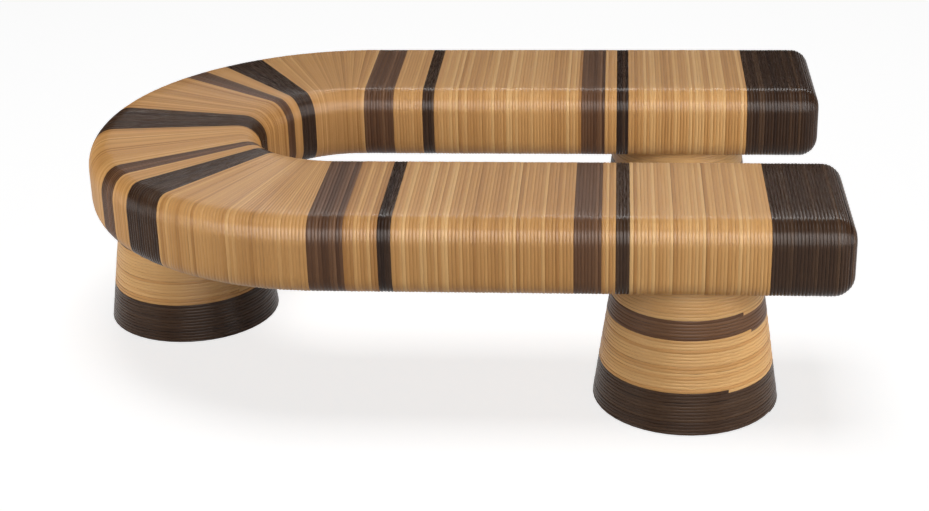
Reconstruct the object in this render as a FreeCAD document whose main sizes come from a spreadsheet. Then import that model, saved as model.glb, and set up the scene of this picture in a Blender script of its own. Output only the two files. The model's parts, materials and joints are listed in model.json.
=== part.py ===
import FreeCAD, Part
import math
import operator
import os
import Sketcher
from FreeCAD import Placement, Rotation, Vector
from types import SimpleNamespace

# Wrapped rattan bench: a horseshoe seat, wound all over with cane, on three flared drum legs.
# The frame stands on the floor at Z = 0 with its origin under the middle of the overall box.
# X runs along the two arms, whose open ends are at +X; the front arm is at -Y, the rear at +Y.

doc = FreeCAD.newDocument("rattan_bench")
sheet = doc.addObject("Spreadsheet::Sheet", "dims")

SIZES = {
    # Seat, outside the cane
    "seat_height": 430,        # floor to the top of the seat
    "seat_width": 355,         # across one arm
    "seat_thickness": 153,
    "top_round": 48,           # radius of the two top shoulders of the section
    "base_round": 44,          # radius of the two lower shoulders
    "bend_radius": 362,        # bend centre to the middle line of the seat
    "arm_length": 993,         # end of the bend to the end of an arm
    "end_round": 40,           # radius of the edge round an arm's end face
    "cane": 6.5,               # one strand of cane, and so the wall of a wound band
    "strand_gap": 0.5,         # room between two turns of a pinstripe
    # Bands along each arm, from the bend outwards; the long infill takes what is left
    "shoulder_band": 65,
    "shoulder_infill": 63,
    "pinstripe": 26,
    "middle_band": 51,
    "middle_infill": 25,
    "outer_infill": 254,
    "end_band": 156,
    "shoulder_drift": 6,       # the shoulder bands sit this far round towards the rear arm's end
    # Bands round the bend, measured on its middle line; the two fans take what is left
    "apex_band": 99,
    "apex_infill": 160,
    "slim_band": 39,
    "slim_infill": 38,
    "bend_band": 66,
    "stripe_drift": 18,        # the bend's bands sit this far round towards the rear arm
    # Carcass inside the seat
    "board": 15,               # deck and base board
    "panel": 10,               # bent side panels
    "ledge": 12,               # what each rail gives a board or a panel to sit on
    "rib": 18,
    "rib_fit": 0.3,            # room between a rib and the curved walls beside it
    "rib_offset": 130,         # leg centre to the rib on each side of it
    "bend_rib_near": 150,      # apex to the bend's ribs, along the middle line
    "bend_rib_far": 380,
    "end_board": 36,
    # Legs, outside the cane
    "leg_spread": 7,           # what its foot measures across beyond the seat's width
    "leg_tuck": 75,            # what its top measures across short of the seat's width
    "leg_setback": 298,        # end of an arm to the centre of its leg
    "apex_leg_inset": 4,       # the third leg's centre, inside the bend's middle line
    "foot_band": 83,
    "waist": 103,
    "collar": 38,
    "drum_wall": 12,
    "head_board": 18,
    "foot_board": 18,
    # Glides under the legs
    "glide_height": 2,
    "glide_diameter": 24,
    "glide_inset": 46,         # edge of the foot to the circle of glides
    # Bolts that hold each leg to the seat
    "bolt_inset": 50,          # edge of the leg's top to the circle of bolts
    "bolt_diameter": 8,
    "bolt_hole": 9,
    "bolt_end": 3,             # what stands out above its nut
    "bolt_head": 14,
    "bolt_head_height": 5.5,
    "washer_diameter": 24,
    "washer": 2,
    "nut_barrel": 11,
    "nut_length": 12,
    "nut_flange": 22,
    "nut_flange_height": 1.6,
    "thread_fit": 0.2,
}
GLIDES_PER_LEG = 3
BOLTS_PER_LEG = 4
SAME_POINT = 0.001

for row, (alias, value) in enumerate(SIZES.items(), start=1):
    sheet.set(f"A{row}", alias)
    sheet.set(f"B{row}", str(value))
    sheet.setAlias(f"B{row}", alias)
doc.recompute()


class Size:
    """A size as a number, with the sheet formula that it comes from."""

    def __init__(self, number, formula):
        self.number = number
        self.formula = formula

    def __add__(self, other):
        return joined(self, "+", other)

    def __radd__(self, other):
        return joined(other, "+", self)

    def __sub__(self, other):
        return joined(self, "-", other)

    def __rsub__(self, other):
        return joined(other, "-", self)

    def __mul__(self, other):
        return joined(self, "*", other)

    def __truediv__(self, other):
        return joined(self, "/", other)

    def __rtruediv__(self, other):
        return joined(other, "/", self)

    def __neg__(self):
        return joined(0, "-", self)


SUMS = {"+": operator.add, "-": operator.sub, "*": operator.mul, "/": operator.truediv}


def joined(left, sign, right):
    """Works out one sum on the numbers and writes the same sum as a formula."""
    a = left if isinstance(left, Size) else Size(left, str(left))
    b = right if isinstance(right, Size) else Size(right, str(right))
    return Size(SUMS[sign](a.number, b.number), f"({a.formula} {sign} {b.formula})")


d = SimpleNamespace(**{alias: Size(float(sheet.get(alias)), f"dims.{alias}") for alias in SIZES})
ZERO = Size(0.0, "0")
PI = Size(math.pi, "pi")
DEGREES = 180 / PI

# Levels and places that several pieces share
underside = d.seat_height - d.seat_thickness
bend_x = (d.bend_radius + d.seat_width / 2 - d.arm_length) / 2
carcass_half = d.seat_width / 2 - d.cane
carcass_top = d.seat_height - d.cane
carcass_base = underside + d.cane
carcass_end = d.arm_length - d.cane - d.end_board
top_rail = d.top_round - d.cane + d.ledge
base_rail = d.base_round - d.cane + d.ledge
arm_leg_x = d.arm_length - d.leg_setback
leg_base = d.seat_width + d.leg_spread
leg_top = d.seat_width - d.leg_tuck
leg_taper = (leg_base - leg_top) / 2 / underside
glide_circle = leg_base - d.glide_inset * 2
bolt_circle = leg_top - d.bolt_inset * 2
front = -d.bend_radius
bend_run = d.bend_radius * PI

subparts = []


def bind(thing, **sizes):
    """Ties properties to the sheet; a double underscore in a name stands for a dot."""
    for name, size in sizes.items():
        thing.setExpression(name.replace("__", "."), size.formula)


def place(thing, x=ZERO, y=ZERO, z=ZERO, turn=None):
    """Puts a piece where the sheet says, turned about the vertical by some degrees."""
    if turn is not None:
        thing.Placement = Placement(Vector(), Rotation(Vector(0, 0, 1), turn.number))
        bind(thing, Placement__Rotation__Angle=turn)
    bind(thing, Placement__Base__x=x, Placement__Base__y=y, Placement__Base__z=z)


def keep(thing):
    """Lists a finished piece among those that are written out under their labels."""
    subparts.append(thing)


def new_body(name):
    return doc.addObject("PartDesign::Body", name)


def new_sketch(body, plane, lift=None):
    """Starts a sketch on one of the body's own planes, or some way along its normal."""
    sketch = body.newObject("Sketcher::SketchObject", body.Name + "_sketch")
    origin = next(feature for feature in body.Origin.OriginFeatures if feature.Role == plane)
    sketch.AttachmentSupport = [(origin, "")]
    sketch.MapMode = "FlatFace"
    if lift is not None:
        bind(sketch, AttachmentOffset__Base__z=lift)
    return sketch


def measure(sketch, kind, edge, end, size):
    """Ties the level or upright distance from the sketch's origin to one end of an edge."""
    index = sketch.addConstraint(Sketcher.Constraint(kind, -1, 1, edge, end, size.number))
    sketch.setExpression(f"Constraints[{index}]", size.formula)


def pin(sketch, edge, end, x, y):
    """Ties one end of an edge to a place in the sketch."""
    measure(sketch, "DistanceX", edge, end, x)
    measure(sketch, "DistanceY", edge, end, y)


def angle_of(point, centre):
    return math.atan2(point.y - centre.y, point.x - centre.x)


def trace(sketch, stops):
    """Draws a closed outline from stop to stop.

    A stop is (x, y) where a straight run leaves it and (x, y, (centre_x, centre_y)) where
    an arc of under half a turn does.
    """
    first = sketch.GeometryCount
    ends = []
    for index, stop in enumerate(stops):
        following = stops[(index + 1) % len(stops)]
        start = Vector(stop[0].number, stop[1].number)
        end = Vector(following[0].number, following[1].number)
        if len(stop) == 2:
            sketch.addGeometry(Part.LineSegment(start, end))
            ends.append((1, 2))
            continue
        centre = Vector(stop[2][0].number, stop[2][1].number)
        circle = Part.Circle(centre, Vector(0, 0, 1), start.distanceToPoint(centre))
        leaves = angle_of(start, centre)
        arrives = angle_of(end, centre)
        anticlockwise = (arrives - leaves) % (2 * math.pi) < math.pi
        span = (leaves, arrives) if anticlockwise else (arrives, leaves)
        sketch.addGeometry(Part.ArcOfCircle(circle, *span))
        ends.append((1, 2) if anticlockwise else (2, 1))
    for index, stop in enumerate(stops):
        following = (index + 1) % len(stops)
        leaving, arriving = ends[index]
        edge = first + index
        next_edge = first + following
        next_leaving = ends[following][0]
        sketch.addConstraint(Sketcher.Constraint("Coincident", edge, arriving, next_edge, next_leaving))
        pin(sketch, edge, leaving, stop[0], stop[1])
        if len(stop) == 3:
            measure(sketch, "DistanceX", edge, 3, stop[2][0])


def box_stops(left, right, low, high):
    return [(left, low), (right, low), (right, high), (left, high)]


def rounded_stops(left, right, low, high, low_radius, high_radius):
    """A box whose two lower and two upper corners are rounded."""
    low_turn = low + low_radius
    high_turn = high - high_radius
    return [
        (left + low_radius, low),
        (right - low_radius, low, (right - low_radius, low_turn)),
        (right, low_turn),
        (right, high_turn, (right - high_radius, high_turn)),
        (right - high_radius, high),
        (left + high_radius, high, (left + high_radius, high_turn)),
        (left, high_turn),
        (left, low_turn, (left + low_radius, low_turn)),
    ]


def seat_section(sketch, middle, inset):
    """Draws the seat's rounded outline about a middle line, drawn in by some inset."""
    half = d.seat_width / 2 - inset
    trace(sketch, rounded_stops(
        middle - half, middle + half, underside + inset, d.seat_height - inset,
        d.base_round - inset, d.top_round - inset))


def pad(body, sketch, length, symmetric=False):
    feature = body.newObject("PartDesign::Pad", body.Name + "_pad")
    feature.Profile = sketch
    feature.Midplane = symmetric
    bind(feature, Length=length)


def straight_band(label, start, width, side):
    """A sleeve of cane round an arm: side is -1 on the front arm and +1 on the rear one."""
    body = new_body(label)
    sketch = new_sketch(body, "YZ_Plane")
    seat_section(sketch, ZERO, ZERO)
    seat_section(sketch, ZERO, d.cane)
    pad(body, sketch, width)
    place(body, x=bend_x + start, y=d.bend_radius * side)
    return body


def end_plate(label, start, thickness, inset, side):
    """A plate across an arm, with the seat's outline drawn in by some inset."""
    body = new_body(label)
    sketch = new_sketch(body, "YZ_Plane")
    seat_section(sketch, ZERO, inset)
    pad(body, sketch, thickness)
    place(body, x=bend_x + start, y=d.bend_radius * side)
    return body


def end_block(label, start, length, inset, side):
    """Such a plate with the edge of its outer face rounded over."""
    body = end_plate(label, start, length, inset, side)
    doc.recompute()
    plate = body.Tip
    faces = plate.Shape.Faces
    outer = max(range(len(faces)), key=lambda index: faces[index].CenterOfMass.x)
    rounded = body.newObject("PartDesign::Fillet", label + "_rounded")
    rounded.Base = (plate, [f"Face{outer + 1}"])
    bind(rounded, Radius=d.end_round - inset)
    return body


def end_sleeve(label, side, cover):
    """The last sleeve of an arm: it rounds over the end and stops at the cover of the end face."""
    start = d.arm_length - d.end_band
    outside = end_block(label + "_outside", start, d.end_band, ZERO, side)
    inside = end_block(label + "_inside", start, d.end_band - d.cane, d.cane, side)
    return cut(label, cut(label + "_cup", outside, inside), cover)


def curved_band(label, start, width):
    """A sleeve of cane round the bend, from some way past the rear arm along the middle line."""
    body = new_body(label)
    sketch = new_sketch(body, "XZ_Plane")
    seat_section(sketch, d.bend_radius, ZERO)
    seat_section(sketch, d.bend_radius, d.cane)
    turned = body.newObject("PartDesign::Revolution", label + "_turned")
    turned.Profile = sketch
    turned.ReferenceAxis = (sketch, ["V_Axis"])
    bind(turned, Angle=width / d.bend_radius * DEGREES)
    place(body, x=bend_x, turn=90 + start / d.bend_radius * DEGREES)
    return body


def band(label, start, width):
    """A sleeve of cane anywhere on the seat's middle line.

    Places are measured from the bend's rear end: under zero they lie on the rear arm, and past
    the bend on the front arm. A band that crosses an end of the bend has a run on each side.
    """
    end = start + width
    runs = []
    if start.number < -SAME_POINT:
        near = ZERO if end.number > 0 else -end
        runs.append(straight_band(label + "_rear_run", near, -start - near, 1))
    if end.number > SAME_POINT and start.number < bend_run.number - SAME_POINT:
        first = start if start.number > 0 else ZERO
        last = end if end.number < bend_run.number else bend_run
        runs.append(curved_band(label + "_turn", first, last - first))
    if end.number > bend_run.number + SAME_POINT:
        near = ZERO if start.number < bend_run.number else start - bend_run
        runs.append(straight_band(label + "_front_run", near, end - bend_run - near, -1))
    return runs[0] if len(runs) == 1 else fuse(label + "_joined", *runs)


def horseshoe(label, stops):
    """A strip of one section that runs round the whole seat, from arm end to arm end."""
    body = new_body(label)
    spine = new_sketch(body, "XY_Plane")
    reach = carcass_end.number
    radius = d.bend_radius.number
    spine.addGeometry(Part.LineSegment(Vector(reach, -radius), Vector(0, -radius)))
    bend = Part.Circle(Vector(), Vector(0, 0, 1), radius)
    spine.addGeometry(Part.ArcOfCircle(bend, math.pi / 2, 3 * math.pi / 2))
    spine.addGeometry(Part.LineSegment(Vector(0, radius), Vector(reach, radius)))
    spine.addConstraint(Sketcher.Constraint("Coincident", 0, 2, 1, 2))
    spine.addConstraint(Sketcher.Constraint("Coincident", 1, 1, 2, 1))
    spine.addConstraint(Sketcher.Constraint("Coincident", 1, 3, -1, 1))
    pin(spine, 0, 1, carcass_end, -d.bend_radius)
    pin(spine, 0, 2, ZERO, -d.bend_radius)
    pin(spine, 2, 2, carcass_end, d.bend_radius)
    spine.addConstraint(Sketcher.Constraint("PointOnObject", 2, 1, -2))
    section = new_sketch(body, "YZ_Plane", lift=carcass_end)
    trace(section, stops)
    pipe = body.newObject("PartDesign::AdditivePipe", label + "_pipe")
    pipe.Profile = section
    pipe.Spine = (spine, ["Edge1", "Edge2", "Edge3"])
    place(body, x=bend_x)
    return body


def rail_stops(side, level, inwards, radius, size):
    """A rail's section: rounded outside, with a ledge for its board and one for its panel.

    Side is -1 on the outside of the horseshoe and +1 on its inside; inwards is -1 on the
    rails under the deck and +1 on those over the base board.
    """
    edge = front - carcass_half if side < 0 else front + carcass_half
    turn_y = edge - radius * side
    turn_z = level + radius * inwards
    ledge_z = level + d.board * inwards
    ledge_y = edge - d.panel * side
    return [
        (edge, turn_z, (turn_y, turn_z)),
        (turn_y, level),
        (turn_y, ledge_z),
        (edge - size * side, ledge_z),
        (edge - size * side, level + size * inwards),
        (ledge_y, level + size * inwards),
        (ledge_y, turn_z),
    ]


def rib_stops(middle):
    """A rib fills the space between boards and panels and is notched round the rails."""
    side = carcass_half - d.panel - d.rib_fit
    upper = carcass_half - top_rail - d.rib_fit
    lower = carcass_half - base_rail - d.rib_fit
    floor = carcass_base + d.board
    low_notch = carcass_base + base_rail + d.rib_fit
    high_notch = carcass_top - top_rail - d.rib_fit
    ceiling = carcass_top - d.board
    half = [(lower, floor), (lower, low_notch), (side, low_notch),
            (side, high_notch), (upper, high_notch), (upper, ceiling)]
    right = [(middle + y, z) for y, z in half]
    left = [(middle - y, z) for y, z in reversed(half)]
    return right + left


def rib(label, middle, x, y, turn):
    """One rib across the seat, its middle some way out from the point that it turns about."""
    body = new_body(label)
    sketch = new_sketch(body, "YZ_Plane")
    trace(sketch, rib_stops(middle))
    pad(body, sketch, d.rib, symmetric=True)
    place(body, x=x, y=y, turn=turn)
    return body


def cylinder(name, diameter, height, x=ZERO, y=ZERO, z=ZERO):
    thing = doc.addObject("Part::Cylinder", name)
    bind(thing, Radius=diameter / 2, Height=height)
    place(thing, x, y, z)
    return thing


def cone(name, low_radius, high_radius, height, x, y, z):
    thing = doc.addObject("Part::Cone", name)
    bind(thing, Radius1=low_radius, Radius2=high_radius, Height=height)
    place(thing, x, y, z)
    return thing


def cut(name, base, tool):
    thing = doc.addObject("Part::Cut", name)
    thing.Base = base
    thing.Tool = tool
    return thing


def fuse(name, base, tool):
    thing = doc.addObject("Part::Fuse", name)
    thing.Base = base
    thing.Tool = tool
    return thing


def group(name, things):
    thing = doc.addObject("Part::Compound", name)
    thing.Links = things
    return thing


def leg_radius(z):
    """Outside radius of a leg's cane at some height."""
    return leg_base / 2 - leg_taper * z


def leg_ring(name, leg, low, high, outer_inset, inner_inset):
    """A tapered ring of a leg between two heights and two insets from the outside."""
    height = high - low
    outer = cone(name + "_outer", leg_radius(low) - outer_inset, leg_radius(high) - outer_inset,
                 height, leg.x, leg.y, low)
    inner = cone(name + "_inner", leg_radius(low) - inner_inset, leg_radius(high) - inner_inset,
                 height, leg.x, leg.y, low)
    return cut(name, outer, inner)


def leg_disc(name, leg, low, high):
    """A board that fills the drum of a leg between two heights."""
    inset = d.cane + d.drum_wall
    return cone(name, leg_radius(low) - inset, leg_radius(high) - inset, high - low, leg.x, leg.y, low)


def round_places(leg, circle, count):
    """Places evenly round a leg's axis, the first of them towards +X."""
    turns = [2 * math.pi * index / count for index in range(count)]
    return [(leg.x + circle / 2 * round(math.cos(turn), 6), leg.y + circle / 2 * round(math.sin(turn), 6))
            for turn in turns]


def strand_round_arm():
    """One strand of cane wound round an arm, turn beside turn, as a tube from X = 0.

    Each turn lies square across the top and the sides and steps over to the next along
    the underside, on two arcs that leave and arrive square.
    """
    turns = round(d.pinstripe.number / d.cane.number)
    pitch = d.pinstripe.number / turns
    strand = pitch - d.strand_gap.number
    low = carcass_base.number - strand / 2
    high = carcass_top.number + strand / 2
    half = carcass_half.number + strand / 2
    low_radius = base_radius.number + strand / 2
    high_radius = top_radius.number + strand / 2
    low_flat = half - low_radius
    high_flat = half - high_radius
    corners = [
        (-low_flat, low + low_radius, low_radius, 270),
        (-high_flat, high - high_radius, high_radius, 180),
        (high_flat, high - high_radius, high_radius, 90),
        (low_flat, low + low_radius, low_radius, 0),
    ]
    tuck = Vector(0, 2 * strand, 0)
    half_step = pitch / 2
    sweep_radius = (half_step ** 2 + low_flat ** 2) / (2 * half_step)
    sweep = math.atan(half_step / low_flat)

    edges = []
    last = Vector(half_step, -low_flat, low) + tuck
    for turn in range(turns):
        x = half_step + turn * pitch
        for y, z, radius, degrees in corners:
            stops = []
            for angle in (degrees, degrees - 45, degrees - 90):
                radians = math.radians(angle)
                stops.append(Vector(x, y + radius * math.cos(radians), z + radius * math.sin(radians)))
            if not last.isEqual(stops[0], SAME_POINT):
                edges.append(Part.LineSegment(last, stops[0]).toShape())
            edges.append(Part.Arc(*stops).toShape())
            last = stops[-1]
        if turn < turns - 1:
            middle = Vector(x + half_step, 0, low)
            leaves = last + Vector(1 - math.cos(sweep), -math.sin(sweep), 0) * sweep_radius
            arrives = middle * 2 - leaves
            beyond = middle * 2 - last
            edges.append(Part.Arc(last, leaves, middle).toShape())
            edges.append(Part.Arc(middle, arrives, beyond).toShape())
            last = beyond
    edges.append(Part.LineSegment(last, last - tuck).toShape())

    path = Part.Wire(edges)
    start = edges[0].valueAt(edges[0].FirstParameter)
    section = Part.Wire(Part.makeCircle(strand / 2, start, Vector(0, -1, 0)))
    tube = path.makePipeShell([section], True, False)
    drawn = math.pi * strand ** 2 / 4 * path.Length
    print(f"pinstripe: {turns} turns, volume {tube.Volume / drawn:.4f} of section times length, "
          f"least gap {least_gap(path, strand):.2f} mm")
    return tube


def least_gap(path, strand):
    """The least room between two turns of a winding, measured on points along it."""
    step = strand / 2
    points = path.discretize(Distance=step)
    apart = math.ceil(3 * strand / step)
    nearest = min(
        point.distanceToPoint(other)
        for index, point in enumerate(points)
        for other in points[index + apart:]
    )
    return nearest - strand


# Carcass: boards and bent panels let into four rounded rails
deck_half = d.seat_width / 2 - d.top_round
base_half = d.seat_width / 2 - d.base_round
panel_low = underside + d.base_round
panel_high = d.seat_height - d.top_round
top_radius = d.top_round - d.cane
base_radius = d.base_round - d.cane

keep(horseshoe("deck_board", box_stops(
    front - deck_half, front + deck_half, carcass_top - d.board, carcass_top)))
undrilled_base = horseshoe("undrilled_base", box_stops(
    front - base_half, front + base_half, carcass_base, carcass_base + d.board))
keep(horseshoe("outer_panel", box_stops(
    front - carcass_half, front - carcass_half + d.panel, panel_low, panel_high)))
keep(horseshoe("inner_panel", box_stops(
    front + carcass_half - d.panel, front + carcass_half, panel_low, panel_high)))
for place_name, side in (("outer", -1), ("inner", 1)):
    keep(horseshoe(place_name + "_top_rail", rail_stops(side, carcass_top, -1, top_radius, top_rail)))
    keep(horseshoe(place_name + "_base_rail", rail_stops(side, carcass_base, 1, base_radius, base_rail)))

# Ribs: four in each arm, two of them beside its leg, and four round the bend
arms = (("front", -1), ("rear", 1))
arm_rib_places = [
    d.rib / 2,
    (arm_leg_x - d.rib_offset) / 2,
    arm_leg_x - d.rib_offset,
    arm_leg_x + d.rib_offset,
]
bend_rib_places = [d.bend_rib_near, d.bend_rib_far]
ribs = []
for arm, side in arms:
    for number, along in enumerate(arm_rib_places, start=1):
        ribs.append(rib(f"{arm}_rib_{number}", ZERO, bend_x + along, d.bend_radius * side, ZERO))
    for number, along in enumerate(bend_rib_places, start=1):
        turn = 90 - along / d.bend_radius * DEGREES * side
        ribs.append(rib(f"{arm}_bend_rib_{number}", d.bend_radius, bend_x, ZERO, turn))
keep(group("ribs", ribs))

# Legs: a tapered drum with a board at each end, wound with cane and bolted up to the seat
legs = [
    SimpleNamespace(name="front_leg", x=bend_x + arm_leg_x, y=-d.bend_radius),
    SimpleNamespace(name="rear_leg", x=bend_x + arm_leg_x, y=d.bend_radius),
    SimpleNamespace(name="apex_leg", x=bend_x - d.bend_radius + d.apex_leg_inset, y=ZERO),
]
waist_top = d.foot_band + d.waist
collar_top = waist_top + d.collar
head_low = underside - d.head_board
nut_low = carcass_base + d.board - d.nut_length
nut_high = carcass_base + d.board + d.nut_flange_height
washer_low = head_low - d.washer
bolt_holes = []
nut_holes = []
bolts = []
washers = []
nuts = []
glides = []
heads = []
feet = []
for leg in legs:
    keep(leg_ring(leg.name + "_drum", leg, d.glide_height, underside, d.cane, d.cane + d.drum_wall))
    keep(leg_ring(leg.name + "_foot_band", leg, d.glide_height, d.foot_band, ZERO, d.cane))
    keep(leg_ring(leg.name + "_collar", leg, waist_top, collar_top, ZERO, d.cane))
    keep(group(leg.name + "_infill", [
        leg_ring(leg.name + "_waist", leg, d.foot_band, waist_top, ZERO, d.cane),
        leg_ring(leg.name + "_neck", leg, collar_top, underside, ZERO, d.cane),
    ]))
    heads.append(leg_disc(leg.name + "_head", leg, head_low, underside))
    feet.append(leg_disc(leg.name + "_foot", leg, d.glide_height, d.glide_height + d.foot_board))
    for number, (x, y) in enumerate(round_places(leg, glide_circle, GLIDES_PER_LEG), start=1):
        glides.append(cylinder(f"{leg.name}_glide_{number}", d.glide_diameter, d.glide_height, x, y))
    for number, (x, y) in enumerate(round_places(leg, bolt_circle, BOLTS_PER_LEG), start=1):
        mark = f"{leg.name}_{number}"
        bolt_holes.append(cylinder(mark + "_hole", d.bolt_hole, carcass_base - head_low, x, y, head_low))
        nut_holes.append(cylinder(mark + "_nut_hole", d.nut_barrel, d.board, x, y, carcass_base))
        shank_length = nut_high + d.bolt_end - washer_low
        shank = cylinder(mark + "_shank", d.bolt_diameter, shank_length, x, y, washer_low)
        head = doc.addObject("Part::Prism", mark + "_hexagon")
        head.Polygon = 6
        bind(head, Circumradius=d.bolt_head / 2, Height=d.bolt_head_height)
        place(head, x, y, washer_low - d.bolt_head_height)
        bolts.append(fuse(mark + "_bolt", head, shank))
        disc = cylinder(mark + "_disc", d.washer_diameter, d.washer, x, y, washer_low)
        disc_hole = cylinder(mark + "_disc_hole", d.bolt_hole, d.washer, x, y, washer_low)
        washers.append(cut(mark + "_washer", disc, disc_hole))
        barrel = cylinder(mark + "_barrel", d.nut_barrel, nut_high - nut_low, x, y, nut_low)
        flange = cylinder(mark + "_flange", d.nut_flange, d.nut_flange_height, x, y, carcass_base + d.board)
        bore = cylinder(mark + "_bore", d.bolt_diameter + d.thread_fit, nut_high - nut_low, x, y, nut_low)
        nuts.append(cut(mark + "_nut", fuse(mark + "_blank", barrel, flange), bore))
all_bolt_holes = group("all_bolt_holes", bolt_holes)
keep(cut("base_board", undrilled_base, group("all_nut_holes", nut_holes)))
keep(cut("leg_head_boards", group("undrilled_heads", heads), all_bolt_holes))
keep(group("leg_foot_boards", feet))
keep(group("leg_bolts", bolts))
keep(group("leg_washers", washers))
keep(group("leg_tee_nuts", nuts))
keep(group("floor_glides", glides))


def arm_bands(drift):
    """The bands of an arm from the bend outwards; the long infill takes up the first one's drift."""
    outer = d.middle_band + d.middle_infill + d.pinstripe + d.outer_infill + d.end_band
    inner = d.shoulder_band + d.shoulder_infill + d.pinstripe
    return [
        ("shoulder_band", d.shoulder_band),
        ("shoulder_infill", d.shoulder_infill),
        ("inner_pinstripe", d.pinstripe),
        ("long_infill", d.arm_length - outer - inner - drift),
        ("middle_band", d.middle_band),
        ("middle_infill", d.middle_infill),
        ("outer_pinstripe", d.pinstripe),
        ("outer_infill", d.outer_infill),
        ("end_band", d.end_band),
    ]


# Cane round the bend, from its middle outwards: wedges that fan out from the bend centre
bend_bands = [
    ("apex_infill", d.apex_infill),
    ("slim_band", d.slim_band),
    ("slim_infill", d.slim_infill),
    ("bend_band", d.bend_band),
]
half_pattern = d.apex_band / 2 + d.apex_infill + d.slim_band + d.slim_infill + d.bend_band
rear_fan = bend_run / 2 - d.stripe_drift - half_pattern + d.shoulder_drift
front_fan = bend_run / 2 + d.stripe_drift - half_pattern - d.shoulder_drift

# All of them in one row, from the end of the rear arm round to the end of the front arm
row = [("rear_" + name, width) for name, width in reversed(arm_bands(d.shoulder_drift))]
row += [("rear_fan", rear_fan)]
row += [("rear_" + name, width) for name, width in reversed(bend_bands)]
row += [("apex_band", d.apex_band)]
row += [("front_" + name, width) for name, width in bend_bands]
row += [("front_fan", front_fan)]
row += [("front_" + name, width) for name, width in arm_bands(-d.shoulder_drift)]

# Each band is a sleeve one strand thick, but a pinstripe is wound from a single strand
pinstripe_shape = strand_round_arm()
end_boards = []
for arm, side in arms:
    end_boards.append(end_block(arm + "_end_board", carcass_end, d.end_board, d.cane, side))
    cover = end_plate(arm + "_end_cover", d.arm_length - d.cane, d.cane, d.end_round, side)
    keep(cover)
    keep(end_sleeve(arm + "_end_band", side, cover))
keep(group("end_boards", end_boards))
start = -d.arm_length
for label, width in row:
    if label.endswith("pinstripe"):
        on_rear = start.number < 0
        winding = doc.addObject("Part::Feature", label)
        winding.Shape = pinstripe_shape
        place(winding, x=bend_x + (-start - width if on_rear else start - bend_run),
              y=d.bend_radius if on_rear else front)
        keep(winding)
    elif not label.endswith("_end_band"):
        keep(cut(label, band(label + "_sleeve", start, width), all_bolt_holes))
    start = start + width

doc.recompute()
for thing in doc.Objects:
    if "Invalid" in thing.State or "Error" in thing.State:
        raise RuntimeError(f"{thing.Label} failed: {thing.State}")
for thing in subparts:
    if thing.Shape.isNull() or not thing.Shape.isValid():
        raise RuntimeError(f"{thing.Label} has no sound shape")

os.makedirs("parts", exist_ok=True)
for thing in subparts:
    thing.Shape.exportStep(f"parts/{thing.Label}.step")
print(f"{len(subparts)} sub-parts written")
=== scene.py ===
# %% [markdown]
# # A horseshoe bench wound in cane
# The bench is a thick soft-cornered beam bent into a horseshoe, on three flared drum legs, and every
# surface of it is round cane laid side by side. The CAD model holds the carcass and plain sleeves where the
# cane goes. This lesson winds the cane itself, strand by strand, and gives it its stain and varnish.
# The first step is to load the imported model, because every strand takes its place from it.

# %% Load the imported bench
import json
import math

import bpy
import numpy as np
from mathutils import Matrix, Vector


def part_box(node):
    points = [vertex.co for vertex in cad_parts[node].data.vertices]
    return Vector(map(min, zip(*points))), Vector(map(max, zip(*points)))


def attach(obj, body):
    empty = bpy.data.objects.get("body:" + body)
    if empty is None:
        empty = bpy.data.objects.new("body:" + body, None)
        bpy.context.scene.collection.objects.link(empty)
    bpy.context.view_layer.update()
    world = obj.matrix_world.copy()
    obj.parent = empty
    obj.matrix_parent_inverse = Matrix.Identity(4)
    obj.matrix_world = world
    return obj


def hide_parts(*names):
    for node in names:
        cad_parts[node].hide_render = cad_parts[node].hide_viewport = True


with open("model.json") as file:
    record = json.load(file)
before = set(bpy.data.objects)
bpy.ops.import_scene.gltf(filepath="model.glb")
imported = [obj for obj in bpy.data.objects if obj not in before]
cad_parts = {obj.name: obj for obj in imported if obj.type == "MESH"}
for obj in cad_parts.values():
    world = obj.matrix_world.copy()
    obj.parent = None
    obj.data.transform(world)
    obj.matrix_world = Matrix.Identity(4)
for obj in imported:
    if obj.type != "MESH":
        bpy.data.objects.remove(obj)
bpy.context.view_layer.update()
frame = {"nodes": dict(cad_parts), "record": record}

scene = bpy.context.scene

# %% [markdown]
# ## Camera
# The view is from standing height, in front of the bench and a little to the right of its middle, with a
# fairly long lens. A camera can be aimed with a Track To constraint, but this one leans slightly, so its
# three axes are worked out from a pitch, a yaw and a roll and written into its matrix.

# %% Camera
IMAGE_WIDTH = 929
PITCH, YAW, ROLL = 0.4172, -0.0885, -0.0267
FOCAL_PIXELS = 1840.2
SENSOR = 36.0
FARTHEST = 100.0
EYE = Vector((0.32708, -3.59127, 1.72608))

ahead = Vector((math.sin(YAW) * math.cos(PITCH), math.cos(YAW) * math.cos(PITCH), -math.sin(PITCH)))
level = ahead.cross(Vector((0, 0, 1))).normalized()
upright = level.cross(ahead)
right = level * math.cos(ROLL) + upright * math.sin(ROLL)
up = upright * math.cos(ROLL) - level * math.sin(ROLL)

camera = bpy.data.objects.new("camera", bpy.data.cameras.new("camera"))
scene.collection.objects.link(camera)
camera.data.sensor_fit = "HORIZONTAL"
camera.data.sensor_width = SENSOR
camera.data.lens = SENSOR * FOCAL_PIXELS / IMAGE_WIDTH
camera.data.clip_end = FARTHEST
turned = Matrix((right, up, -ahead)).transposed().to_4x4()
camera.matrix_world = Matrix.Translation(EYE) @ turned
scene.camera = camera
print("lens", round(camera.data.lens, 2), "mm")

# %% [markdown]
# ## Sums that build nodes
# Both the windings and the finishes are node trees. Joining dozens of Math nodes by hand hides the rule
# they stand for, so a small class lets a socket be added, multiplied and so on, and each sum puts one
# Math node into the tree. The rules below then read as they would on paper.

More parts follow.
